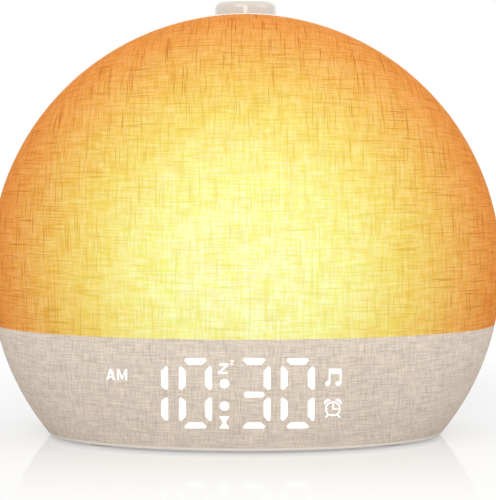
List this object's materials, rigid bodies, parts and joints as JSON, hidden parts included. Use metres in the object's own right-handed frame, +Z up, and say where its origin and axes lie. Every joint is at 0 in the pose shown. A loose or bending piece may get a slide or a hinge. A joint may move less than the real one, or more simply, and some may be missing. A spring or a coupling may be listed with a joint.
{
  "type": "sunrise alarm clock",
  "caption": "Bedside sunrise lamp and alarm clock with a linen-covered domed front, a display glowing through its lower band, a turn-and-press top knob and push buttons on its back.",
  "frame": {"origin": "middle of the footprint, on the surface that the feet stand on", "axes": "+X to the right as seen from the front, the domed front faces -Y, +Z up"},
  "size_m": [0.1808, 0.0919, 0.1535],
  "materials": {
    "linen": "woven linen",
    "milky_shell": "milky, lets light through",
    "grey_shell": "moulded",
    "white_tray": "matt white",
    "white_housing": "fine moulded grain",
    "cream_base": "fine moulded grain",
    "pearl_knob": "satin pearl",
    "grey_button": "satin",
    "black_plastic": "moulded",
    "clear_lens": "clear",
    "circuit_board": "green board",
    "led": "warm",
    "steel": "zinc plated",
    "bright_steel": "nickel plated",
    "magnet_steel": "plain",
    "rubber": "matt",
    "foam": "foam",
    "speaker_paper": "pressed paper",
    "capacitor_sleeve": "sleeved can",
    "cable_film": "flat cable"
  },
  "bodies": {
    "housing": {"linen_cover": "linen", "light_diffuser": "milky_shell", "display_shell": "grey_shell", "light_baffle": "black_plastic", "display_block": "black_plastic", "segment_lenses": "clear_lens", "display_board": "circuit_board", "display_leds": "led", "mid_frame": "grey_shell", "lamp_reflector": "white_tray", "lamp_board": "circuit_board", "lamp_leds": "led", "rear_shell": "white_housing", "case_screws": "steel", "base_plate": "cream_base", "base_screws": "steel", "rubber_feet": "rubber", "speaker_gasket": "foam", "speaker_frame": "black_plastic", "speaker_cone": "speaker_paper", "speaker_magnet": "magnet_steel", "main_board": "circuit_board", "board_chips": "black_plastic", "capacitors": "capacitor_sleeve", "cell_holder": "black_plastic", "coin_cell": "bright_steel", "display_cable": "cable_film", "lamp_cable": "cable_film", "power_jack": "black_plastic", "jack_pin": "bright_steel", "inlet_board": "circuit_board", "button_board": "circuit_board", "tact_switches": "black_plastic", "encoder_body": "black_plastic", "encoder_bush": "bright_steel", "encoder_nut": "bright_steel", "encoder_board": "circuit_board"},
    "rotor": {"encoder_rotor": "grey_shell"},
    "dial": {"encoder_shaft": "bright_steel", "dial_knob": "pearl_knob"},
    "alarm_one_key": {"alarm_one_button": "grey_button", "alarm_one_plunger": "black_plastic"},
    "alarm_two_key": {"alarm_two_button": "grey_button", "alarm_two_plunger": "black_plastic"},
    "set_key": {"set_button": "grey_button", "set_plunger": "black_plastic"},
    "minus_key": {"minus_button": "grey_button", "minus_plunger": "black_plastic"},
    "plus_key": {"plus_button": "grey_button", "plus_plunger": "black_plastic"}
  },
  "joints": [
    {"name": "dial_turn", "type": "hinge", "parent": "housing", "child": "rotor", "pos_m": [0, 0.021, 0.1486], "axis": [0, 0, 1], "continuous": true},
    {"name": "dial_press", "type": "slide", "parent": "rotor", "child": "dial", "axis": [0, 0, -1], "range_m": [0, 0.0006], "stiffness_N_per_m": 800, "springref_m": -0.0015},
    {"name": "alarm_one_press", "type": "slide", "parent": "housing", "child": "alarm_one_key", "axis": [0, -1, 0], "range_m": [0, 0.0007], "stiffness_N_per_m": 400, "springref_m": -0.002},
    {"name": "alarm_two_press", "type": "slide", "parent": "housing", "child": "alarm_two_key", "axis": [0, -1, 0], "range_m": [0, 0.0007], "stiffness_N_per_m": 400, "springref_m": -0.002},
    {"name": "set_press", "type": "slide", "parent": "housing", "child": "set_key", "axis": [0, -1, 0], "range_m": [0, 0.0007], "stiffness_N_per_m": 400, "springref_m": -0.002},
    {"name": "minus_press", "type": "slide", "parent": "housing", "child": "minus_key", "axis": [0, -1, 0], "range_m": [0, 0.0007], "stiffness_N_per_m": 400, "springref_m": -0.002},
    {"name": "plus_press", "type": "slide", "parent": "housing", "child": "plus_key", "axis": [0, -1, 0], "range_m": [0, 0.0007], "stiffness_N_per_m": 400, "springref_m": -0.002}
  ]
}
